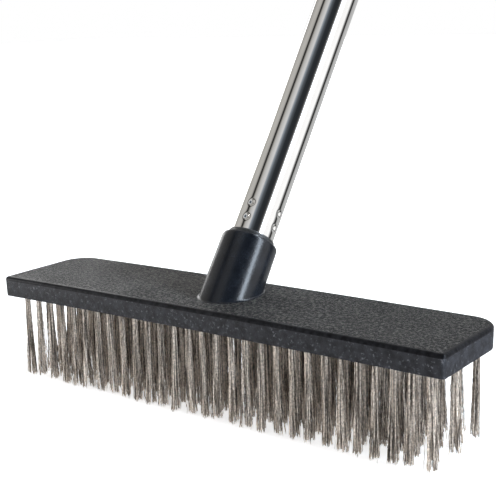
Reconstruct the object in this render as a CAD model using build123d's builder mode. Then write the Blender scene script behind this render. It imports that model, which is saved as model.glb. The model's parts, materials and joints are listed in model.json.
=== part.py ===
from build123d import *
import os
from math import cos, radians, sin

# Wide wire scrubbing brush: a moulded block with a slanted screw socket, rows of wire tufts held by
# flat anchors, and a steel tube handle with a threaded plastic tip and a hanging cap.
#
# Frame: +X along the block, +Y from its front edge to its back edge, +Z up. The handle leans to +Y.
# Origin: the middle of the plane that the tips of the tufts stand on.
# Unit: millimetre. Places along the handle are measured from the point where its axis meets the
# top face of the block.

# Moulded block
BLOCK_LENGTH = 320.0
BLOCK_WIDTH = 71.0
BLOCK_THICKNESS = 13.0
FRONT_CORNER_RADIUS = 2.5
BACK_CORNER_RADIUS = 17.0
SIDE_DRAFT = 1.5
TOP_EDGE_RADIUS = 2.0
UNDER_EDGE_RADIUS = 0.5
BLOCK_BOW = 0.8

# Wire tufts and their anchors: every second row stands half a pitch along and has one tuft less
TUFT_COLUMNS = 29
TUFT_ROWS = 5
COLUMN_PITCH = 10.56
ROW_PITCH = 13.5
TUFT_LENGTH = 56.0
TUFT_ROOT_RADIUS = 1.7
TUFT_TIP_RADIUS = 2.6
HOLE_RADIUS = 1.8
HOLE_DEPTH = 8.5
TUFT_SHANK_LENGTH = 8.0
ANCHOR_WIDTH = 4.0
ANCHOR_THICKNESS = 0.5
ANCHOR_HEIGHT = 2.0
ANCHOR_CLEARANCE = 0.05
FOLD_HEIGHT = 0.8

# Slanted socket on the block
HANDLE_LEAN = 36.0
AXIS_FOOT_Y = 2.4
SOCKET_BASE_RADIUS = 17.9
SOCKET_TOP_RADIUS = 17.4
SOCKET_RIM = 35.5
SOCKET_RIM_RADIUS = 2.2
SOCKET_FOOT_RADIUS = 1.5
SOCKET_SINK = 14.0
SOCKET_CUT_DEPTH = 6.0
BORE_RADIUS = 10.8
BORE_BOTTOM = 7.5
MOUTH_CHAMFER = 1.0

# Washer between the socket's rim and the collar of the tip
WASHER_RADIUS = 14.6
WASHER_HOLE_RADIUS = 10.8
WASHER_THICKNESS = 1.0

# Screw tip, plugged into the tube
SCREW_RADIUS = 10.4
SCREW_END = 9.5
SCREW_END_CHAMFER = 1.5
COLLAR_RADIUS = 14.3
COLLAR_HEIGHT = 1.5
COLLAR_EDGE_RADIUS = 0.5
PLUG_LENGTH = 26.0

# Steel tube with two rings of crimp dimples
TUBE_RADIUS = 13.25
TUBE_WALL = 0.8
TUBE_LENGTH = 1300.0
PLUG_CLEARANCE = 0.1
DIMPLE_PLACES = (45.8, 55.3)
DIMPLES_AROUND = 4
DIMPLE_FIRST_ANGLE = 4.5
DIMPLE_MOUTH_RADIUS = 2.5
DIMPLE_DEPTH = 1.1

# End cap with a hanging hole
CAP_RADIUS = 13.95
CAP_LENGTH = 38.0
CAP_PLUG_LENGTH = 24.0
CAP_SHOULDER = 8.0
CAP_TAB_THICKNESS = 11.0
CAP_DOME_RADIUS = 10.0
HANGING_HOLE_RADIUS = 4.5
HANGING_HOLE_FROM_TOP = 13.0

# Levels and directions that follow from the sizes above
BLOCK_BOTTOM = TUFT_LENGTH
BLOCK_TOP = BLOCK_BOTTOM + BLOCK_THICKNESS
LEAN = radians(HANDLE_LEAN)
AXIS_FOOT = Vector(0, AXIS_FOOT_Y, BLOCK_TOP)
AXIS_UP = Vector(0, sin(LEAN), cos(LEAN))
AXIS_ACROSS = Vector(0, cos(LEAN), -sin(LEAN))
HANDLE_AXIS = Axis(AXIS_FOOT, AXIS_UP)
COLLAR_BOTTOM = SOCKET_RIM + WASHER_THICKNESS
TUBE_BOTTOM = COLLAR_BOTTOM + COLLAR_HEIGHT
TUBE_TOP = TUBE_BOTTOM + TUBE_LENGTH
TUBE_BORE_RADIUS = TUBE_RADIUS - TUBE_WALL
PLUG_RADIUS = TUBE_BORE_RADIUS - PLUG_CLEARANCE
DIMPLE_RADIUS = (DIMPLE_MOUTH_RADIUS**2 + DIMPLE_DEPTH**2) / (2 * DIMPLE_DEPTH)
DIMPLE_CENTRE_RADIUS = TUBE_RADIUS - DIMPLE_DEPTH + DIMPLE_RADIUS

# Profiles of round pieces are drawn as (radius, place along the handle) in ROUND_SECTION
ROUND_SECTION = Plane(origin=AXIS_FOOT, x_dir=(1, 0, 0), z_dir=AXIS_ACROSS * -1)
# The view along X, as (across, place along the handle)
SIDE_SECTION = Plane(origin=AXIS_FOOT, x_dir=AXIS_ACROSS, z_dir=(1, 0, 0))

os.makedirs("parts", exist_ok=True)


def on_axis(place):
    """Point of the handle's axis at a place along it."""
    return AXIS_FOOT + AXIS_UP * place


def dimple_centres():
    """Centres of the balls that shape the dimples, all outside the tube."""
    centres = []
    for place in DIMPLE_PLACES:
        for index in range(DIMPLES_AROUND):
            turn = radians(DIMPLE_FIRST_ANGLE + index * 360 / DIMPLES_AROUND)
            outward = Vector(1, 0, 0) * cos(turn) + AXIS_ACROSS * sin(turn)
            centres.append(on_axis(place) + outward * DIMPLE_CENTRE_RADIUS)
    return centres


def tuft_centres(column):
    """Centres of one column's tufts, as (x, y), from the front row to the back row."""
    centres = []
    for row in range(TUFT_ROWS):
        staggered = row % 2
        if staggered and column == TUFT_COLUMNS - 1:
            continue
        x = (column + staggered / 2 - (TUFT_COLUMNS - 1) / 2) * COLUMN_PITCH
        y = (row - (TUFT_ROWS - 1) / 2) * ROW_PITCH
        centres.append((x, y))
    return centres


ALL_CENTRES = [centre for column in range(TUFT_COLUMNS) for centre in tuft_centres(column)]


# Slanted socket, down to a flat cut inside the block
with BuildPart() as socket:
    with BuildSketch(ROUND_SECTION):
        with BuildLine():
            Polyline(
                (0, -SOCKET_SINK),
                (SOCKET_BASE_RADIUS, -SOCKET_SINK),
                (SOCKET_TOP_RADIUS, SOCKET_RIM),
                (0, SOCKET_RIM),
                close=True,
            )
        make_face()
        fillet(vertices().sort_by_distance((SOCKET_TOP_RADIUS, SOCKET_RIM))[0], SOCKET_RIM_RADIUS)
    revolve(axis=HANDLE_AXIS)
    split(bisect_by=Plane.XY.offset(BLOCK_TOP - SOCKET_CUT_DEPTH), keep=Keep.TOP)

# Moulded block in one piece with the socket: drafted sides, both faces bowed so that the ends
# hang lower than the middle, and the tuft holes. The bow is drawn over twice the block's length.
bow_drop = 4 * BLOCK_BOW
with BuildPart() as brush_block:
    with BuildSketch(Plane.XY.offset(BLOCK_TOP)):
        Rectangle(BLOCK_LENGTH, BLOCK_WIDTH)
        fillet(vertices().group_by(Axis.Y)[0], FRONT_CORNER_RADIUS)
        fillet(vertices().group_by(Axis.Y)[-1], BACK_CORNER_RADIUS)
    extrude(amount=-BLOCK_THICKNESS - BLOCK_BOW, taper=SIDE_DRAFT)
    with BuildSketch(Plane.XZ):
        with BuildLine():
            ThreePointArc(
                (-BLOCK_LENGTH, BLOCK_TOP - bow_drop), (0, BLOCK_TOP), (BLOCK_LENGTH, BLOCK_TOP - bow_drop)
            )
            Line((BLOCK_LENGTH, BLOCK_TOP - bow_drop), (BLOCK_LENGTH, BLOCK_BOTTOM - bow_drop))
            ThreePointArc(
                (BLOCK_LENGTH, BLOCK_BOTTOM - bow_drop),
                (0, BLOCK_BOTTOM),
                (-BLOCK_LENGTH, BLOCK_BOTTOM - bow_drop),
            )
            Line((-BLOCK_LENGTH, BLOCK_BOTTOM - bow_drop), (-BLOCK_LENGTH, BLOCK_TOP - bow_drop))
        make_face()
    extrude(amount=BLOCK_WIDTH, both=True, mode=Mode.INTERSECT)
    fillet(faces().sort_by(Axis.Z)[-1].edges(), TOP_EDGE_RADIUS)
    fillet(faces().sort_by(Axis.Z)[0].edges(), UNDER_EDGE_RADIUS)
    add(socket.part)
    fillet(edges(Select.NEW), SOCKET_FOOT_RADIUS)
    with BuildSketch(Plane.XY.offset(BLOCK_BOTTOM - BLOCK_BOW)):
        with Locations(*ALL_CENTRES):
            Circle(HOLE_RADIUS)
    extrude(amount=HOLE_DEPTH + BLOCK_BOW, mode=Mode.SUBTRACT)
    with BuildSketch(ROUND_SECTION):
        with BuildLine():
            Polyline(
                (0, BORE_BOTTOM),
                (BORE_RADIUS, BORE_BOTTOM),
                (BORE_RADIUS, SOCKET_RIM - MOUTH_CHAMFER),
                (BORE_RADIUS + MOUTH_CHAMFER, SOCKET_RIM),
                (0, SOCKET_RIM),
                close=True,
            )
        make_face()
    revolve(axis=HANDLE_AXIS, mode=Mode.SUBTRACT)
brush_block.part.label = "brush_block"
export_step(brush_block.part, "parts/brush_block.step")


# Wire tufts, one node for each column across the block: a shank in its hole and a brush that flares
tuft_hole_top = BLOCK_BOTTOM + TUFT_SHANK_LENGTH
anchor_level = tuft_hole_top - FOLD_HEIGHT - ANCHOR_HEIGHT / 2
for column in range(TUFT_COLUMNS):
    with BuildPart() as tufts:
        with Locations(*[(x, y, 0) for x, y in tuft_centres(column)]):
            Cone(
                TUFT_TIP_RADIUS,
                TUFT_ROOT_RADIUS,
                TUFT_LENGTH,
                align=(Align.CENTER, Align.CENTER, Align.MIN),
            )
        with BuildSketch(Plane.XY.offset(BLOCK_BOTTOM)):
            with Locations(*tuft_centres(column)):
                Circle(TUFT_ROOT_RADIUS)
        extrude(amount=TUFT_SHANK_LENGTH)
        with Locations(*[(x, y, anchor_level) for x, y in tuft_centres(column)]):
            Box(
                ANCHOR_WIDTH,
                ANCHOR_THICKNESS + 2 * ANCHOR_CLEARANCE,
                ANCHOR_HEIGHT + 2 * ANCHOR_CLEARANCE,
                mode=Mode.SUBTRACT,
            )
    tufts.part.label = f"tufts_{column + 1:02d}"
    export_step(tufts.part, f"parts/{tufts.part.label}.step")

# Flat anchors, one for each tuft, that pin the folded wires in their holes
for row, row_y in enumerate(sorted({y for x, y in ALL_CENTRES})):
    with BuildPart() as anchors:
        with Locations(*[(x, y, anchor_level) for x, y in ALL_CENTRES if y == row_y]):
            Box(ANCHOR_WIDTH, ANCHOR_THICKNESS, ANCHOR_HEIGHT)
    anchors.part.label = f"anchors_row_{row + 1}"
    export_step(anchors.part, f"parts/{anchors.part.label}.step")

# Flat washer on the socket's rim, loose round the neck of the tip
with BuildPart() as thrust_washer:
    with BuildSketch(Plane(origin=on_axis(SOCKET_RIM), x_dir=(1, 0, 0), z_dir=AXIS_UP)):
        Circle(WASHER_RADIUS)
        Circle(WASHER_HOLE_RADIUS, mode=Mode.SUBTRACT)
    extrude(amount=WASHER_THICKNESS)
thrust_washer.part.label = "thrust_washer"
export_step(thrust_washer.part, "parts/thrust_washer.step")

# Bore of the tube, with the backs of the dimples pressed into it
with BuildPart() as tube_bore:
    with BuildSketch(Plane(origin=on_axis(TUBE_BOTTOM), x_dir=(1, 0, 0), z_dir=AXIS_UP)):
        Circle(TUBE_BORE_RADIUS)
    extrude(amount=TUBE_LENGTH)
    with Locations(*dimple_centres()):
        Sphere(DIMPLE_RADIUS + TUBE_WALL, mode=Mode.SUBTRACT)

# Steel tube of the handle
with BuildPart() as handle_tube:
    with BuildSketch(Plane(origin=on_axis(TUBE_BOTTOM), x_dir=(1, 0, 0), z_dir=AXIS_UP)):
        Circle(TUBE_RADIUS)
    extrude(amount=TUBE_LENGTH)
    with Locations(*dimple_centres()):
        Sphere(DIMPLE_RADIUS, mode=Mode.SUBTRACT)
    add(tube_bore.part, mode=Mode.SUBTRACT)
handle_tube.part.label = "handle_tube"
export_step(handle_tube.part, "parts/handle_tube.step")

# Tip of the handle: a screw as a plain cylinder over its crests, a collar, and a plug that the
# dimples grip
with BuildPart() as handle_tip:
    with BuildSketch(ROUND_SECTION):
        with BuildLine():
            Polyline(
                (0, SCREW_END),
                (SCREW_RADIUS - SCREW_END_CHAMFER, SCREW_END),
                (SCREW_RADIUS, SCREW_END + SCREW_END_CHAMFER),
                (SCREW_RADIUS, COLLAR_BOTTOM),
                (COLLAR_RADIUS, COLLAR_BOTTOM),
                (COLLAR_RADIUS, TUBE_BOTTOM),
                (PLUG_RADIUS, TUBE_BOTTOM),
                (PLUG_RADIUS, TUBE_BOTTOM + PLUG_LENGTH),
                (0, TUBE_BOTTOM + PLUG_LENGTH),
                close=True,
            )
        make_face()
        fillet(
            vertices().sort_by_distance((COLLAR_RADIUS, (COLLAR_BOTTOM + TUBE_BOTTOM) / 2))[:2],
            COLLAR_EDGE_RADIUS,
        )
    revolve(axis=HANDLE_AXIS)
    with Locations(*dimple_centres()):
        Sphere(DIMPLE_RADIUS + TUBE_WALL + PLUG_CLEARANCE, mode=Mode.SUBTRACT)
handle_tip.part.label = "handle_tip"
export_step(handle_tip.part, "parts/handle_tip.step")

# Cap on the upper end of the tube, flattened to a tab with a hanging hole
cap_top = TUBE_TOP + CAP_LENGTH
with BuildPart() as end_cap:
    with BuildSketch(ROUND_SECTION):
        with BuildLine():
            Polyline(
                (0, TUBE_TOP - CAP_PLUG_LENGTH),
                (PLUG_RADIUS, TUBE_TOP - CAP_PLUG_LENGTH),
                (PLUG_RADIUS, TUBE_TOP),
                (CAP_RADIUS, TUBE_TOP),
                (CAP_RADIUS, cap_top),
                (0, cap_top),
                close=True,
            )
        make_face()
        fillet(vertices().sort_by_distance((CAP_RADIUS, cap_top))[0], CAP_DOME_RADIUS)
        fillet(vertices().sort_by_distance((CAP_RADIUS, TUBE_TOP))[0], COLLAR_EDGE_RADIUS)
    revolve(axis=HANDLE_AXIS)
    for side in (-1, 1):
        cut_centre_x = side * (CAP_TAB_THICKNESS + CAP_RADIUS) / 2
        with BuildSketch(ROUND_SECTION):
            with Locations((cut_centre_x, TUBE_TOP + CAP_SHOULDER + CAP_LENGTH / 2)):
                Rectangle(CAP_RADIUS, CAP_LENGTH)
        extrude(amount=CAP_RADIUS, both=True, mode=Mode.SUBTRACT)
    with BuildSketch(SIDE_SECTION):
        with Locations((0, cap_top - HANGING_HOLE_FROM_TOP)):
            Circle(HANGING_HOLE_RADIUS)
    extrude(amount=CAP_RADIUS, both=True, mode=Mode.SUBTRACT)
end_cap.part.label = "end_cap"
export_step(end_cap.part, "parts/end_cap.step")
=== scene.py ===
import json
import math

import bmesh
import bpy
import numpy as np
from mathutils import Matrix, Vector
from mathutils.geometry import delaunay_2d_cdt


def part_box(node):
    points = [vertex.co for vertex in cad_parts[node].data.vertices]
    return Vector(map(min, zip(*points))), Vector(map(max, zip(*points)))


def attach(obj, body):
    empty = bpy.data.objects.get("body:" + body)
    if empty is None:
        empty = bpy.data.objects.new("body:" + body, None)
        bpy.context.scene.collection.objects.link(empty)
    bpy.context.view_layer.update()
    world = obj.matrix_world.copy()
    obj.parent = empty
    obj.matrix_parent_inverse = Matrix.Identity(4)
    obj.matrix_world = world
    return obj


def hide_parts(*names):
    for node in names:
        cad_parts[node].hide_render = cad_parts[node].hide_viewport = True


# A wire scrubbing brush: moulded block with a slanted socket, rows of crimped wire tufts, and a
# polished steel handle that screws in. Everything is in metres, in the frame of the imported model.

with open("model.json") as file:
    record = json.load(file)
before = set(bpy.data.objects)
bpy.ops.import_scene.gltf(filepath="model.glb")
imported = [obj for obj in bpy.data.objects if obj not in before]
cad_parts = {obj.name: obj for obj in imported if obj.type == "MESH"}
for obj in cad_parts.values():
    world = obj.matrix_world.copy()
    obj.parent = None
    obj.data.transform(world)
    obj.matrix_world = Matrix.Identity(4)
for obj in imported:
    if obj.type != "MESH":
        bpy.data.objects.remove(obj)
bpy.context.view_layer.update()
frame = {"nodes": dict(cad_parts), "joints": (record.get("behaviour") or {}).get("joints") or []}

MM = 0.001
POLE = 0.05 * MM  # radius of the last ring where a round face closes
rng = np.random.default_rng(7)

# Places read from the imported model
joints = {joint["name"]: joint for joint in frame["joints"]}
AXIS_UP = np.array(joints["handle_screw"]["axis"], float)
AXIS_UP /= np.linalg.norm(AXIS_UP)
AXIS_FOOT = np.array(joints["handle_screw"]["pos_m"], float)
ACROSS_X = np.array([1.0, 0.0, 0.0])
ACROSS_Y = np.cross(AXIS_UP, ACROSS_X)
block_low, block_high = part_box("brush_block")
BLOCK_BOW = 0.8 * MM  # how far each end of the block hangs below its middle
BLOCK_TOP = AXIS_FOOT[2]
BLOCK_BOTTOM = block_low.z + BLOCK_BOW
HALF_LENGTH = block_high.x
HALF_WIDTH = -block_low.y


def place_along_axis(node, end):
    """Place along the handle of a round node's lower (end 0) or upper (end 1) flat face."""
    corner = np.array(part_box(node)[end])
    reach = (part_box(node)[1].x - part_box(node)[0].x) / 2
    sign = 1 if end else -1
    tilted = corner[2] - sign * reach * abs(ACROSS_Y[2])
    return (tilted - AXIS_FOOT[2]) / AXIS_UP[2]


tuft_nodes = sorted(node for node in frame["nodes"] if node.startswith("tufts_"))
anchor_nodes = sorted(node for node in frame["nodes"] if node.startswith("anchors_row_"))
TUFT_TIP_RADIUS = (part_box(tuft_nodes[-1])[1].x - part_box(tuft_nodes[-1])[0].x) / 2
COLUMN_XS = [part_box(node)[0].x + TUFT_TIP_RADIUS for node in tuft_nodes]
ROW_YS = [(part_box(node)[0].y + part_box(node)[1].y) / 2 for node in anchor_nodes]
HALF_PITCH = (COLUMN_XS[1] - COLUMN_XS[0]) / 2


def tuft_roots(column):
    """Places of one column's tufts; every second row stands half a pitch further along."""
    roots = []
    for row, y in enumerate(ROW_YS):
        staggered = row % 2
        if staggered and column == len(COLUMN_XS) - 1:
            continue
        roots.append((COLUMN_XS[column] + staggered * HALF_PITCH, y))
    return roots


def bow(x):
    """How far the block hangs below its middle at a place along it."""
    return BLOCK_BOW * (x / HALF_LENGTH) ** 2


# Camera
CAMERA_FROM_BLOCK_TOP = (0.3907, -0.4979, 0.1693)
CAMERA_AZIMUTH = math.radians(36.99)
CAMERA_ELEVATION = math.radians(12.15)
CAMERA_ROLL = math.radians(-1.85)
CAMERA_LENS = 79.39
SENSOR_WIDTH = 36.0


def make_camera():
    """Camera at the reference view, as a fixed matrix."""
    level = math.cos(CAMERA_ELEVATION)
    back = Vector((
        math.sin(CAMERA_AZIMUTH) * level,
        -math.cos(CAMERA_AZIMUTH) * level,
        math.sin(CAMERA_ELEVATION),
    ))
    level_right = (-back).cross(Vector((0, 0, 1))).normalized()
    level_up = level_right.cross(-back)
    right = math.cos(CAMERA_ROLL) * level_right + math.sin(CAMERA_ROLL) * level_up
    up = -math.sin(CAMERA_ROLL) * level_right + math.cos(CAMERA_ROLL) * level_up
    turn = Matrix((right, up, back)).transposed().to_4x4()
    place = Vector(CAMERA_FROM_BLOCK_TOP) + Vector((0, 0, BLOCK_TOP))
    data = bpy.data.cameras.new("camera")
    data.lens = CAMERA_LENS
    data.sensor_width = SENSOR_WIDTH
    data.clip_start = 0.01
    camera = bpy.data.objects.new("camera", data)
    camera.matrix_world = Matrix.Translation(place) @ turn
    bpy.context.scene.collection.objects.link(camera)
    bpy.context.scene.camera = camera
    return back


camera_back = make_camera()

# Materials


class Nodes:
    """Short way to add and link shader nodes."""

    def __init__(self, tree):
        self.tree = tree

    def add(self, kind, inputs=None, **settings):
        node = self.tree.nodes.new(kind)
        for name, value in settings.items():
            setattr(node, name, value)
        for name, value in (inputs or {}).items():
            if isinstance(value, bpy.types.NodeSocket):
                self.tree.links.new(value, node.inputs[name])
            else:
                node.inputs[name].default_value = value
        return node

    def link(self, output, socket):
        self.tree.links.new(output, socket)

    def noise(self, scale, detail=2.0, roughness=0.5, vector=None, stretch=None):
        """Noise over the object's own coordinates, in metres; stretch squeezes it along an axis."""
        if vector is None:
            vector = self.add("ShaderNodeTexCoord").outputs["Object"]
        if stretch is not None:
            mapping = self.add("ShaderNodeMapping", {"Vector": vector, "Scale": stretch})
            vector = mapping.outputs["Vector"]
        node = self.add(
            "ShaderNodeTexNoise",
            {"Vector": vector, "Scale": scale, "Detail": detail, "Roughness": roughness},
        )
        return node.outputs["Fac"]

    def ramp(self, factor, stops):
        """Colour ramp; stops are (place, grey or colour)."""
        node = self.add("ShaderNodeValToRGB", {"Fac": factor})
        elements = node.color_ramp.elements
        while len(elements) < len(stops):
            elements.new(0.5)
        for element, (place, colour) in zip(elements, stops):
            element.position = place
            if not isinstance(colour, tuple):
                colour = (colour, colour, colour)
            element.color = (*colour, 1.0)
        return node.outputs["Color"]

    def bump(self, height, distance, strength=1.0, normal=None):
        inputs = {"Height": height, "Distance": distance, "Strength": strength}
        if normal is not None:
            inputs["Normal"] = normal
        return self.add("ShaderNodeBump", inputs).outputs["Normal"]


def material(name, **inputs):
    """New material with one Principled shader; returns it with its node helper and shader."""
    made = bpy.data.materials.new(name)
    made.use_nodes = True
    nodes = Nodes(made.node_tree)
    shader = made.node_tree.nodes["Principled BSDF"]
    for key, value in inputs.items():
        shader.inputs[key.replace("_", " ")].default_value = value
    return made, nodes, shader


def grained_plastic():
    """Black polypropylene with a coarse spark-eroded grain, for the top of the block."""
    made, nodes, shader = material("grained_plastic", IOR=1.5, Specular_IOR_Level=0.27)
    coarse = nodes.noise(540, detail=4, roughness=0.85)
    fine = nodes.noise(1500, detail=2)
    patches = nodes.noise(38, detail=3)
    nodes.link(
        nodes.ramp(coarse, [(0.50, (0.001, 0.001, 0.001)), (0.58, (0.17, 0.16, 0.148))]),
        shader.inputs["Base Color"],
    )
    nodes.link(nodes.ramp(patches, [(0.3, 0.48), (0.7, 0.58)]), shader.inputs["Roughness"])
    relief = nodes.bump(coarse, 0.0034)
    nodes.link(nodes.bump(fine, 0.0005, normal=relief), shader.inputs["Normal"])
    return made


def side_plastic():
    """The same plastic on the sides: smoother, faintly mottled, with pale rubbed specks."""
    made, nodes, shader = material("side_plastic", IOR=1.49, Specular_IOR_Level=0.28)
    cloud = nodes.noise(260, detail=3)
    fine = nodes.noise(1300, detail=2)
    specks = nodes.noise(520, detail=4, roughness=0.7)
    base = nodes.ramp(cloud, [(0.36, (0.008, 0.0085, 0.011)), (0.64, (0.023, 0.024, 0.029))])
    rubbed = nodes.ramp(specks, [(0.59, 0.0), (0.74, 1.0)])
    mixed = nodes.add("ShaderNodeMix", data_type="RGBA")
    nodes.link(rubbed, mixed.inputs[0])
    nodes.link(base, mixed.inputs[6])
    mixed.inputs[7].default_value = (0.15, 0.15, 0.165, 1.0)
    nodes.link(mixed.outputs[2], shader.inputs["Base Color"])
    nodes.link(nodes.ramp(cloud, [(0.3, 0.48), (0.7, 0.60)]), shader.inputs["Roughness"])
    nodes.link(nodes.bump(fine, 0.00028), shader.inputs["Normal"])
    return made


def edge_plastic_painted_dark():
    """The rounded upper edge of the block: smoother where the grain is polished off, and painted
    darker than the sides as painted shade for the dark reflection along the edge.
    """
    made, nodes, shader = material("edge_plastic_painted_dark", IOR=1.49, Specular_IOR_Level=0.12)
    cloud = nodes.noise(420, detail=3)
    # Painted shade: this colour is darker than the sides' to stand in for the dark reflection the
    # rounded edge shows
    nodes.link(
        nodes.ramp(cloud, [(0.35, (0.003, 0.003, 0.004)), (0.7, (0.012, 0.012, 0.014))]),
        shader.inputs["Base Color"],
    )
    nodes.link(nodes.ramp(cloud, [(0.3, 0.30), (0.7, 0.42)]), shader.inputs["Roughness"])
    nodes.link(nodes.bump(cloud, 0.0002), shader.inputs["Normal"])
    return made


def gloss_plastic():
    """The polished skin of the socket."""
    made, nodes, shader = material("gloss_plastic", IOR=1.45, Specular_IOR_Level=0.4)
    cloud = nodes.noise(120, detail=2)
    fine = nodes.noise(700, detail=2)
    nodes.link(
        nodes.ramp(cloud, [(0.3, (0.004, 0.005, 0.007)), (0.7, (0.009, 0.011, 0.015))]),
        shader.inputs["Base Color"],
    )
    nodes.link(nodes.ramp(cloud, [(0.3, 0.20), (0.7, 0.27)]), shader.inputs["Roughness"])
    nodes.link(nodes.bump(fine, 0.00005), shader.inputs["Normal"])
    return made


def small_part_plastic(name, shade):
    """Satin black nylon for the tip, the washer and the cap."""
    made, nodes, shader = material(name, IOR=1.5, Specular_IOR_Level=0.5)
    cloud = nodes.noise(300, detail=3)
    fine = nodes.noise(2200, detail=2)
    low, high = shade * 0.8, shade * 1.2
    nodes.link(nodes.ramp(cloud, [(0.3, low), (0.7, high)]), shader.inputs["Base Color"])
    nodes.link(nodes.ramp(cloud, [(0.3, 0.36), (0.7, 0.46)]), shader.inputs["Roughness"])
    nodes.link(nodes.bump(fine, 0.00004), shader.inputs["Normal"])
    return made


def polished_steel():
    """Polished stainless tube with faint drawing lines along it and light wear."""
    made, nodes, shader = material("polished_steel", Metallic=1.0)
    along = nodes.noise(60, detail=3)
    wear = nodes.noise(900, detail=4, roughness=0.7)
    nodes.link(
        nodes.ramp(along, [(0.3, (0.73, 0.725, 0.715)), (0.7, (0.79, 0.785, 0.775))]),
        shader.inputs["Base Color"],
    )
    nodes.link(nodes.ramp(wear, [(0.35, 0.05), (0.75, 0.09)]), shader.inputs["Roughness"])
    return made


def wire_steel():
    """Fine stainless wire, warm grey, with its own tone from wire to wire, and fine painted shade
    along the wires for the light and dark of their crimps.
    """
    made, nodes, shader = material("wire_steel", Metallic=0.35, IOR=1.5)
    strands = nodes.noise(1150, detail=1, stretch=(1.0, 1.0, 0.02))
    crimp_painted_shade = nodes.noise(900, detail=2)
    tone = nodes.ramp(
        strands,
        [(0.40, (0.11, 0.09, 0.072)), (0.5, (0.60, 0.50, 0.41)), (0.60, (1.0, 0.88, 0.765))],
    )
    # Painted shade: fine darker patches along the wires stand in for the shading of their crimps
    shade = nodes.ramp(crimp_painted_shade, [(0.38, 0.55), (0.58, 1.0)])
    mixed = nodes.add("ShaderNodeMix", data_type="RGBA", blend_type="MULTIPLY")
    mixed.inputs[0].default_value = 1.0
    nodes.link(tone, mixed.inputs[6])
    nodes.link(shade, mixed.inputs[7])
    nodes.link(mixed.outputs[2], shader.inputs["Base Color"])
    nodes.link(nodes.ramp(crimp_painted_shade, [(0.3, 0.32), (0.7, 0.5)]), shader.inputs["Roughness"])
    return made


GRAINED = grained_plastic()
SIDE = side_plastic()
EDGE = edge_plastic_painted_dark()
GLOSS = gloss_plastic()
TIP = small_part_plastic("tip_nylon", 0.03)
WASHER = small_part_plastic("washer_nylon", 0.02)
CAP = small_part_plastic("cap_plastic", 0.03)
STEEL = polished_steel()
WIRE = wire_steel()


# Mesh helpers


def add_mesh(name, points, faces, materials, face_materials=None, smooth=True):
    """Object from a point array and a list of faces."""
    mesh = bpy.data.meshes.new(name)
    mesh.from_pydata([tuple(point) for point in points], [], faces)
    for one in materials:
        mesh.materials.append(one)
    if face_materials is not None:
        mesh.polygons.foreach_set("material_index", face_materials)
    mesh.polygons.foreach_set("use_smooth", [smooth] * len(mesh.polygons))
    mesh.update()
    made = bpy.data.objects.new(name, mesh)
    bpy.context.scene.collection.objects.link(made)
    return made


def ring_faces(rings, around, first=0, closed=False):
    """Quads between rings of points laid one after another."""
    faces = []
    for ring in range(rings if closed else rings - 1):
        upper_ring = (ring + 1) % rings
        for step in range(around):
            after = (step + 1) % around
            faces.append((
                first + ring * around + step,
                first + ring * around + after,
                first + upper_ring * around + after,
                first + upper_ring * around + step,
            ))
    return faces


def on_handle(radius, turn, place):
    """Points at a radius, turn and place along the handle's axis; any of them may be arrays."""
    radius, turn, place = np.broadcast_arrays(radius, turn, place)
    outward = (
        np.cos(turn)[..., None] * ACROSS_X + np.sin(turn)[..., None] * ACROSS_Y
    )
    return AXIS_FOOT + radius[..., None] * outward + place[..., None] * AXIS_UP


def arc(centre, radius, start, end, steps):
    """Points of an arc in (radius, place), angles in degrees."""
    angles = np.radians(np.linspace(start, end, steps))
    return [(centre[0] + radius * math.cos(a), centre[1] + radius * math.sin(a)) for a in angles]


def weld(piece):
    """Join points that lie on each other."""
    grid = bmesh.new()
    grid.from_mesh(piece.data)
    bmesh.ops.remove_doubles(grid, verts=grid.verts, dist=0.001 * MM)
    grid.to_mesh(piece.data)
    grid.free()


def mark_sharp(piece, degrees):
    """Edges that turn by more than this stay crisp in the shading."""
    piece.data.set_sharp_from_angle(angle=math.radians(degrees))


# Block with its socket
BLOCK_KINDS = ("top", "side", "edge", "socket")
FRONT_CORNER = 2.5 * MM
BACK_CORNER = 17.0 * MM
TOP_EDGE = 2.0 * MM
UNDER_EDGE = 0.5 * MM
SMOOTH_SIDE = 0.3 * MM
SMOOTH_TOP = 0.9 * MM
DRAFT = math.tan(math.radians(1.5))
CORNER_STEPS = 16
LONG_STEPS = 40
SHORT_STEPS = 8
GRID_PITCH = 7.0 * MM
HOLE_RADIUS = 1.8 * MM
HOLE_DEPTH = 8.5 * MM
HOLE_AROUND = 16


def block_outline(inset):
    """The block's outline, moved in by inset, as a closed ring of points in X and Y."""
    corners = (
        (-1, -1, FRONT_CORNER, 180, LONG_STEPS),
        (1, -1, FRONT_CORNER, 270, SHORT_STEPS),
        (1, 1, BACK_CORNER, 0, LONG_STEPS),
        (-1, 1, BACK_CORNER, 90, SHORT_STEPS),
    )
    arcs = []
    for side, end, radius, start, _ in corners:
        left = max(radius - inset, 0.02 * MM)
        reach = inset + left
        centre = (side * (HALF_LENGTH - reach), end * (HALF_WIDTH - reach))
        arcs.append(arc(centre, left, start, start + 90, CORNER_STEPS))
    ring = []
    for index, corner in enumerate(arcs):
        ring += corner
        start, end = np.array(corner[-1]), np.array(arcs[(index + 1) % 4][0])
        for share in np.linspace(0, 1, corners[index][4] + 1)[1:-1]:
            ring.append(tuple(start + (end - start) * share))
    return ring


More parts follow.
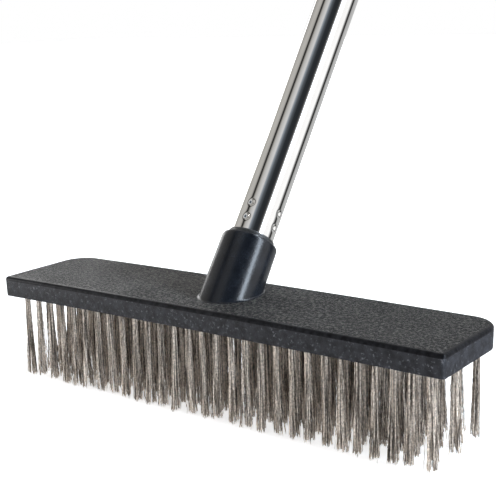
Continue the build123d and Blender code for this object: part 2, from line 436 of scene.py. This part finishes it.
def sheet(outline, holes=()):
    """Flat triangles over an outline with round holes left open: points in X and Y, and faces."""
    points = list(outline)
    loops = [list(range(len(outline)))]
    for centre in holes:
        turns = np.linspace(0, 2 * math.pi, HOLE_AROUND, endpoint=False)
        loops.append(list(range(len(points), len(points) + HOLE_AROUND)))
        points += [
            (centre[0] + HOLE_RADIUS * math.cos(turn), centre[1] + HOLE_RADIUS * math.sin(turn))
            for turn in turns
        ]
    edges = [(loop[i], loop[(i + 1) % len(loop)]) for loop in loops for i in range(len(loop))]
    inner_x = np.arange(-HALF_LENGTH + GRID_PITCH, HALF_LENGTH - GRID_PITCH / 2, GRID_PITCH)
    inner_y = np.arange(-HALF_WIDTH + GRID_PITCH, HALF_WIDTH - GRID_PITCH / 2, GRID_PITCH)
    ring = np.array(outline)
    for x in inner_x:
        for y in inner_y:
            clear_of_edge = np.min(np.hypot(ring[:, 0] - x, ring[:, 1] - y)) > GRID_PITCH / 2
            in_hole = any(math.hypot(cx - x, cy - y) < HOLE_RADIUS + 0.5 * MM for cx, cy in holes)
            if clear_of_edge and not in_hole:
                points.append((x, y))
    made = delaunay_2d_cdt([Vector(point) for point in points], edges, [], 1, 1e-7)
    flat, triangles = made[0], made[2]
    kept = []
    for triangle in triangles:
        middle = sum((flat[corner] for corner in triangle), Vector((0, 0))) / len(triangle)
        from_holes = [math.hypot(cx - middle.x, cy - middle.y) for cx, cy in holes]
        if not from_holes or min(from_holes) >= HOLE_RADIUS * 0.9:
            kept.append(tuple(triangle))
    return [tuple(point) for point in flat], kept


def block_rows():
    """Rows of the block's wall from the underside to the top as (inset, height, kind of face)."""
    wall = BLOCK_TOP - BLOCK_BOTTOM
    under = DRAFT * wall
    rows = []
    for angle in np.radians(np.linspace(-90, 0, 5)):
        inset = under + UNDER_EDGE * (1 - math.cos(angle))
        rows.append((inset, BLOCK_BOTTOM + UNDER_EDGE * (1 + math.sin(angle)), "side"))
    smooth_start = TOP_EDGE + SMOOTH_SIDE
    rows.append((DRAFT * smooth_start, BLOCK_TOP - smooth_start, "side"))
    for angle in np.radians(np.linspace(0, 90, 11)):
        inset = TOP_EDGE * (1 - math.cos(angle)) + DRAFT * TOP_EDGE
        rows.append((inset, BLOCK_TOP - TOP_EDGE * (1 - math.sin(angle)), "edge"))
    rows.append((TOP_EDGE + SMOOTH_TOP, BLOCK_TOP, "edge"))
    return rows


SOCKET_BASE = 17.9 * MM
SOCKET_TOP = 17.4 * MM
SOCKET_SINK = 14.0 * MM
SOCKET_RIM = 35.5 * MM
RIM_ROUND = 2.2 * MM
FOOT_ROUND = 1.2 * MM
BORE = 10.8 * MM
MOUTH_CHAMFER = 1.0 * MM
BORE_FLOOR = 8.5 * MM
SOCKET_AROUND = 192
THREAD_LEAD = 5.0 * MM
THREAD_DEPTH = 1.8 * MM
THREAD_CLEARANCE = 0.4 * MM
SCREW_CREST = 10.4 * MM


def thread_height(turn, place):
    """Share of the thread's depth, 0 in the root to 1 on the crest, at a turn and place."""
    phase = (place / THREAD_LEAD - turn / (2 * math.pi)) % 1.0
    from_crest = np.abs(phase - 0.5) * 2
    return np.clip((0.72 - from_crest) / 0.36, 0.0, 1.0)


def socket_rows(turns):
    """Rings of the socket: from the block's top up the wall, over the rim and down the bore."""
    taper = (SOCKET_BASE - SOCKET_TOP) / (SOCKET_RIM + SOCKET_SINK)

    def wall(place):
        return on_handle(SOCKET_BASE - taper * (place + SOCKET_SINK), turns, place)

    # Where the wall meets the top of the block
    low = wall(np.full_like(turns, -SOCKET_SINK))
    high = wall(np.full_like(turns, SOCKET_RIM))
    share = (BLOCK_TOP - low[:, 2]) / (high[:, 2] - low[:, 2])
    foot = low + share[:, None] * (high - low)
    foot_place = -SOCKET_SINK + share * (SOCKET_RIM + SOCKET_SINK)
    outward = np.cos(turns)[:, None] * ACROSS_X + np.sin(turns)[:, None] * ACROSS_Y
    flat = outward * [1, 1, 0]
    flat /= np.linalg.norm(flat, axis=1)[:, None]
    rows = []
    for t in np.linspace(0, 1, 9):
        bend = (1 - t) ** 2 * FOOT_ROUND
        rise = t**2 * FOOT_ROUND
        row = foot + flat * bend + AXIS_UP * rise
        row[:, 2] = np.maximum(row[:, 2], BLOCK_TOP + 0.01 * MM)
        rows.append(row)
    start = foot_place + FOOT_ROUND
    end = SOCKET_RIM - RIM_ROUND
    for t in np.linspace(0, 1, 13)[1:]:
        rows.append(wall(start + (end - start) * t))
    for radius, place in arc((SOCKET_TOP - RIM_ROUND, end), RIM_ROUND, 0, 90, 10)[1:]:
        rows.append(on_handle(radius, turns, place))
    rows.append(on_handle(BORE + MOUTH_CHAMFER, turns, SOCKET_RIM))
    rows.append(on_handle(BORE, turns, SOCKET_RIM - MOUTH_CHAMFER))
    for place in np.arange(SOCKET_RIM - MOUTH_CHAMFER, BORE_FLOOR, -0.35 * MM):
        fade = min(1.0, (SOCKET_RIM - MOUTH_CHAMFER - place) / (1.5 * MM))
        depth = (1 - thread_height(turns, place)) * THREAD_DEPTH * fade
        rows.append(on_handle(BORE - depth, turns, place))
    rows.append(on_handle(0.5 * BORE, turns, BORE_FLOOR))
    rows.append(on_handle(POLE, turns, BORE_FLOOR))
    return rows


def make_block():
    """The moulded block: a bowed slab with rounded edges, tuft holes under it and its socket."""
    points, faces, kinds = [], [], []
    rows = block_rows()
    around = len(block_outline(0.0))
    for inset, height, _ in rows:
        points += [(x, y, height - bow(x)) for x, y in block_outline(inset)]
    faces += ring_faces(len(rows), around)
    for row in rows[1:]:
        kinds += [BLOCK_KINDS.index(row[2])] * around
    holes = [root for column in range(len(COLUMN_XS)) for root in tuft_roots(column)]
    for row, height, upward, kind, openings in (
        (rows[-1], BLOCK_TOP, True, "top", ()),
        (rows[0], BLOCK_BOTTOM, False, "side", holes),
    ):
        flat, triangles = sheet(block_outline(row[0]), openings)
        first = len(points)
        points += [(x, y, height - bow(x)) for x, y in flat]
        for triangle in triangles:
            corners = [first + corner for corner in triangle]
            faces.append(tuple(corners if upward else corners[::-1]))
        kinds += [BLOCK_KINDS.index(kind)] * len(triangles)
    ceiling = BLOCK_BOTTOM + HOLE_DEPTH
    for x, y in holes:
        first = len(points)
        ring = arc((x, y), HOLE_RADIUS, 0, 360, HOLE_AROUND + 1)[:-1]
        points += [(px, py, BLOCK_BOTTOM - bow(px)) for px, py in ring]
        points += [(px, py, ceiling) for px, py in ring]
        faces += [face[::-1] for face in ring_faces(2, HOLE_AROUND, first)]
        faces.append(tuple(range(first + HOLE_AROUND, first + 2 * HOLE_AROUND))[::-1])
        kinds += [BLOCK_KINDS.index("side")] * (HOLE_AROUND + 1)
    turns = np.linspace(0, 2 * math.pi, SOCKET_AROUND, endpoint=False)
    socket = socket_rows(turns)
    first = len(points)
    for row in socket:
        points += [tuple(point) for point in row]
    socket_faces = ring_faces(len(socket), SOCKET_AROUND, first)
    faces += socket_faces
    kinds += [BLOCK_KINDS.index("socket")] * len(socket_faces)
    block = add_mesh("moulded_block", points, faces, [GRAINED, SIDE, EDGE, GLOSS], kinds)
    weld(block)
    mark_sharp(block, 50)
    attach(block, "head")
    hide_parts("brush_block")


make_block()

# Tufts of crimped wire
WIRES_PER_TUFT = 54
WIRE_RADIUS = 0.18 * MM
WIRE_STEPS = 34
CRIMP = 0.13 * MM
ROOT_RADIUS = 1.6 * MM
ROOT_DEPTH = 5.0 * MM
CRIMP_TURN = 2.2
CLUMPS = 4
CLUMP_SPREAD = 0.8 * MM
TUFT_LEAN = 0.7 * MM
STRAY = 0.3 * MM
SWAY = 0.14 * MM
LOOSE_SHARE = 0.08
LOOSE_SPREAD = 2.2 * MM
BEND_POWER = 1.8
SHORT_SHARE = 0.15


def tuft_wires(root, length, tip_radius):
    """Centre lines of one tuft's wires: an array of wires, steps and X, Y, Z."""
    count = WIRES_PER_TUFT
    order = np.arange(count) + 0.5
    spiral = order * math.pi * (3 - math.sqrt(5)) + rng.uniform(0, 2 * math.pi)
    spot = np.sqrt(order / count)[:, None] * np.stack([np.cos(spiral), np.sin(spiral)], 1)
    lean = rng.normal(0, TUFT_LEAN, 2)
    clumps = rng.normal(0, CLUMP_SPREAD, (CLUMPS, 2))
    clump = clumps[np.argmin(np.linalg.norm(spot[:, None] - clumps / (1.3 * MM), axis=2), axis=1)]
    stray = rng.normal(0, STRAY, (count, 2))
    loose = rng.random(count) < LOOSE_SHARE
    stray[loose] += rng.normal(0, LOOSE_SPREAD, (loose.sum(), 2))
    t = np.linspace(0, 1, WIRE_STEPS)
    bend = (t**BEND_POWER)[None, :, None]
    base = spot[:, None, :] * ROOT_RADIUS
    flare = spot[:, None, :] * (tip_radius * 0.95 - ROOT_RADIUS)
    sway = rng.normal(0, SWAY, (count, 1, 2)) * np.sin(math.pi * t)[None, :, None]
    flat = base + bend * (flare + lean + clump[:, None] + stray[:, None]) + sway
    phase = rng.uniform(0, 2 * math.pi, (count, 1))
    pace = rng.uniform(0.8, 1.2, (count, 1))
    wave = np.sin(pace * np.arange(WIRE_STEPS)[None, :] * CRIMP_TURN + phase)
    wave = wave * np.minimum(1, t * 5)[None, :]
    facing = rng.uniform(0, math.pi, count)
    crimp = np.stack([np.cos(facing), np.sin(facing)], 1)[:, None, :] * wave[..., None] * CRIMP
    flat = flat + crimp
    cut = rng.uniform(0.962, 1.0, count) - rng.uniform(0, 0.035)
    cut = cut - 0.03 * (rng.random(count) < SHORT_SHARE)
    depth = -t[None, :] * (cut * length + ROOT_DEPTH)[:, None] + ROOT_DEPTH
    lines = np.concatenate([flat, depth[..., None]], axis=2)
    return lines + np.array(root)


def tube_mesh(lines, radius):
    """Thin three-sided tubes along many lines at once: points and faces."""
    count, steps, _ = lines.shape
    turn = rng.uniform(0, 2 * math.pi, (count, 1)) + np.arange(3) * 2 * math.pi / 3
    side = np.stack([np.cos(turn), np.sin(turn), np.zeros_like(turn)], axis=2) * radius
    points = (lines[:, :, None, :] + side[:, None, :, :]).reshape(-1, 3)
    faces = []
    for wire in range(count):
        first = wire * steps * 3
        faces += [face[::-1] for face in ring_faces(steps, 3, first)]
        faces.append((first, first + 1, first + 2))
        last = first + (steps - 1) * 3
        faces.append((last + 2, last + 1, last))
    return points, faces


def make_tufts():
    """One piece of loose wires for each column of tufts."""
    for column, name in enumerate(tuft_nodes):
        points, faces = [], []
        for x, y in tuft_roots(column):
            length = BLOCK_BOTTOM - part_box(name)[0].z
            lines = tuft_wires((x, y, BLOCK_BOTTOM), length, TUFT_TIP_RADIUS)
            more_points, more_faces = tube_mesh(lines, WIRE_RADIUS)
            first = len(points)
            points += [tuple(point) for point in more_points]
            faces += [tuple(first + corner for corner in face) for face in more_faces]
        wires = add_mesh(name.replace("tufts", "wires"), points, faces, [WIRE])
        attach(wires, "head")
        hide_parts(name)


make_tufts()

# Handle tube with its crimp dimples
TUBE_RADIUS = (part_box("handle_tube")[1].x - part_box("handle_tube")[0].x) / 2
TUBE_WALL = 0.8 * MM
TUBE_LOW = place_along_axis("handle_tube", 0)
TUBE_HIGH = place_along_axis("handle_tube", 1)
TUBE_AROUND = 240
DIMPLE_PLACES = (45.8 * MM, 55.3 * MM)
DIMPLE_TURNS = np.radians(4.5 + 90 * np.arange(4))
DIMPLE_DEPTH = 1.15 * MM
DIMPLE_WIDTH = 1.75 * MM


def dimple_depth(turn, place):
    """How far the tube's wall is pressed in at a turn and place: a dent with a soft rim."""
    depth = np.zeros(np.broadcast(turn, place).shape)
    for dimple_place in DIMPLE_PLACES:
        for dimple_turn in DIMPLE_TURNS:
            around = (turn - dimple_turn + math.pi) % (2 * math.pi) - math.pi
            off = np.hypot(around * TUBE_RADIUS, place - dimple_place)
            depth = depth + DIMPLE_DEPTH * np.exp(-((off / DIMPLE_WIDTH) ** 2.4))
    return depth


def make_tube():
    """The steel tube, outside and inside."""
    margin = 6 * MM
    dented = np.arange(DIMPLE_PLACES[0] - margin, DIMPLE_PLACES[1] + margin, 0.25 * MM)
    plain = np.linspace(DIMPLE_PLACES[1] + margin, TUBE_HIGH, 12)
    places = np.concatenate([[TUBE_LOW], dented[dented > TUBE_LOW], plain])
    turns = np.linspace(0, 2 * math.pi, TUBE_AROUND, endpoint=False)
    rings = []
    for place in places:
        rings.append(on_handle(TUBE_RADIUS - dimple_depth(turns, place), turns, place))
    for place in places[::-1]:
        rings.append(on_handle(TUBE_RADIUS - TUBE_WALL - dimple_depth(turns, place), turns, place))
    points = np.concatenate(rings)
    faces = ring_faces(len(rings), TUBE_AROUND, closed=True)
    tube = add_mesh("steel_tube", points, faces, [STEEL])
    mark_sharp(tube, 50)
    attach(tube, "handle")
    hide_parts("handle_tube")


make_tube()

# Screw tip and washer
SCREW_END = 9.5 * MM
SCREW_END_CHAMFER = 1.2 * MM
SCREW_AROUND = 144
NECK = 5.0 * MM
COLLAR_EDGE = 0.5 * MM
WASHER_EDGE = 0.25 * MM


def make_tip():
    """The moulded tip: screw with its thread, neck, collar and the start of the plug."""
    washer_top = place_along_axis("thrust_washer", 1)
    collar_radius = (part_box("handle_tip")[1].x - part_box("handle_tip")[0].x) / 2
    turns = np.linspace(0, 2 * math.pi, SCREW_AROUND, endpoint=False)
    core = SCREW_CREST - THREAD_DEPTH
    thread_top = washer_top - NECK
    thread_start = SCREW_END + SCREW_END_CHAMFER
    rings = [
        on_handle(POLE, turns, SCREW_END),
        on_handle(core - SCREW_END_CHAMFER, turns, SCREW_END),
    ]
    for place in np.arange(thread_start, washer_top - 0.5 * MM, 0.3 * MM):
        fade_in = np.clip((place - thread_start) / (2.5 * MM), 0, 1)
        fade_out = np.clip((thread_top - place) / (2.0 * MM), 0, 1)
        height = thread_height(turns, place) * THREAD_DEPTH * min(fade_in, fade_out)
        rings.append(on_handle(core + height, turns, place))
    collar = [(core, washer_top - 0.3 * MM), (core, washer_top + 0.01 * MM)]
    collar_arc = collar_radius - COLLAR_EDGE
    collar += arc((collar_arc, washer_top + COLLAR_EDGE), COLLAR_EDGE, -90, 0, 5)
    collar += arc((collar_arc, TUBE_LOW - COLLAR_EDGE), COLLAR_EDGE, 0, 90, 5)
    plug = TUBE_RADIUS - TUBE_WALL - 0.1 * MM
    collar += [(plug, TUBE_LOW), (plug, TUBE_LOW + 2 * MM), (POLE, TUBE_LOW + 2 * MM)]
    for radius, place in collar:
        rings.append(on_handle(radius, turns, place))
    points = np.concatenate(rings)
    tip = add_mesh("screw_tip", points, ring_faces(len(rings), SCREW_AROUND), [TIP])
    mark_sharp(tip, 40)
    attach(tip, "handle")
    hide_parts("handle_tip")


def make_washer():
    """The flat washer, with softened edges."""
    low = place_along_axis("thrust_washer", 0)
    high = place_along_axis("thrust_washer", 1)
    outer = (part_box("thrust_washer")[1].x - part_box("thrust_washer")[0].x) / 2
    inner = SCREW_CREST + THREAD_CLEARANCE
    turns = np.linspace(0, 2 * math.pi, SCREW_AROUND, endpoint=False)
    profile = []
    for radius, place, start in (
        (outer - WASHER_EDGE, low + WASHER_EDGE, -90),
        (outer - WASHER_EDGE, high - WASHER_EDGE, 0),
        (inner + WASHER_EDGE, high - WASHER_EDGE, 90),
        (inner + WASHER_EDGE, low + WASHER_EDGE, 180),
    ):
        profile += arc((radius, place), WASHER_EDGE, start, start + 90, 4)
    points = np.concatenate([on_handle(radius, turns, place) for radius, place in profile])
    faces = ring_faces(len(profile), SCREW_AROUND, closed=True)
    washer = add_mesh("rim_washer", points, faces, [WASHER])
    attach(washer, "washer")
    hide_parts("thrust_washer")


make_tip()
make_washer()

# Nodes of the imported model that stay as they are, with better materials
kept_materials = {"end_cap": CAP, **dict.fromkeys(anchor_nodes, STEEL)}
for node_name, kept in kept_materials.items():
    mesh = frame["nodes"][node_name].data
    mesh.materials.clear()
    mesh.materials.append(kept)

# Studio: pale floor, white surroundings with the soft boxes and dark gaps of a product studio
FLOOR_HALF = 6.0


def make_floor():
    """Plain white floor that the tufts stand on."""
    signs = ((-1, -1), (1, -1), (1, 1), (-1, 1))
    corners = [(x * FLOOR_HALF, y * FLOOR_HALF, 0.0) for x, y in signs]
    made, nodes, shader = material("floor_white", Roughness=0.9)
    shader.inputs["Base Color"].default_value = (0.9, 0.9, 0.9, 1.0)
    shader.inputs["Specular IOR Level"].default_value = 0.0
    shader.inputs["Emission Color"].default_value = (1.0, 1.0, 1.0, 1.0)
    shader.inputs["Emission Strength"].default_value = 0.7
    floor = add_mesh("floor", corners, [(0, 1, 2, 3)], [made], smooth=False)
    floor.visible_glossy = False


# Light round the handle's axis, as (share of a full turn, brightness, tint): 0.5 faces the camera
WARM, PLAIN, COOL = (1.03, 1.0, 0.95), (1.0, 1.0, 1.0), (0.88, 1.0, 1.14)
STUDIO_BANDS = [
    (0.000, 0.62, PLAIN),
    (0.120, 0.34, WARM),
    (0.170, 0.50, WARM),
    (0.225, 0.60, WARM),
    (0.270, 0.52, WARM),
    (0.291, 0.03, WARM),
    (0.309, 0.03, WARM),
    (0.334, 0.52, WARM),
    (0.372, 0.70, PLAIN),
    (0.398, 0.80, PLAIN),
    (0.418, 0.36, COOL),
    (0.445, 0.13, COOL),
    (0.485, 0.035, COOL),
    (0.530, 0.03, COOL),
    (0.560, 0.06, PLAIN),
    (0.584, 0.85, PLAIN),
    (0.597, 17.0, COOL),
    (0.622, 17.0, COOL),
    (0.638, 1.25, PLAIN),
    (0.735, 1.3, PLAIN),
    (0.765, 0.20, PLAIN),
    (0.785, 0.02, PLAIN),
    (0.800, 0.02, PLAIN),
    (0.822, 0.55, PLAIN),
    (0.872, 0.62, PLAIN),
    (1.000, 0.62, PLAIN),
]


def make_world():
    """White to the camera; to everything else a studio with bands of light and dark."""
    world = bpy.data.worlds.new("studio")
    bpy.context.scene.world = world
    world.use_nodes = True
    nodes = Nodes(world.node_tree)
    background = world.node_tree.nodes["Background"]
    output = world.node_tree.nodes["World Output"]
    toward = np.array(camera_back) - np.dot(camera_back, AXIS_UP) * AXIS_UP
    toward /= np.linalg.norm(toward)
    rightward = np.cross(AXIS_UP, toward)
    direction = nodes.add("ShaderNodeTexCoord").outputs["Generated"]
    sides = []
    for axis in (rightward, toward):
        dot = nodes.add("ShaderNodeVectorMath", operation="DOT_PRODUCT")
        nodes.link(direction, dot.inputs[0])
        dot.inputs[1].default_value = tuple(axis)
        sides.append(dot.outputs["Value"])
    angle = nodes.add("ShaderNodeMath", operation="ARCTAN2")
    nodes.link(sides[0], angle.inputs[0])
    nodes.link(sides[1], angle.inputs[1])
    turn = nodes.add("ShaderNodeMath", operation="MULTIPLY_ADD")
    nodes.link(angle.outputs[0], turn.inputs[0])
    turn.inputs[1].default_value = 0.5 / math.pi
    turn.inputs[2].default_value = 0.5
    stops = [(place, tuple(light * part for part in tint)) for place, light, tint in STUDIO_BANDS]
    bands = nodes.ramp(turn.outputs[0], stops)
    nodes.link(bands, background.inputs["Color"])
    white = nodes.add("ShaderNodeBackground", {"Color": (1, 1, 1, 1), "Strength": 1.0})
    seen = nodes.add("ShaderNodeLightPath").outputs["Is Camera Ray"]
    mix = nodes.add("ShaderNodeMixShader")
    nodes.link(seen, mix.inputs[0])
    nodes.link(background.outputs[0], mix.inputs[1])
    nodes.link(white.outputs[0], mix.inputs[2])
    nodes.link(mix.outputs[0], output.inputs["Surface"])


# Soft boxes that only light the brush: (name, place, aim, size, power)
SOFT_BOXES = [
    ("key_light", (-1.28, -0.42, 0.14), (0.0, 0.0, 0.02), 0.30, 13.0),
    ("sheen_light", (-0.75, 0.42, 0.26), (-0.14, 0.0, 0.07), 0.4, 1.05),
]


def make_lights():
    """Soft boxes round the brush."""
    for name, place, aim, size, power in SOFT_BOXES:
        data = bpy.data.lights.new(name, "AREA")
        data.shape = "SQUARE"
        data.size = size
        data.energy = power
        light = bpy.data.objects.new(name, data)
        toward = Vector(aim) - Vector(place)
        light.location = place
        light.rotation_euler = toward.to_track_quat("-Z", "Y").to_euler()
        light.visible_camera = False
        bpy.context.scene.collection.objects.link(light)


make_floor()
make_world()
make_lights()
bpy.context.scene.view_settings.view_transform = "Standard"
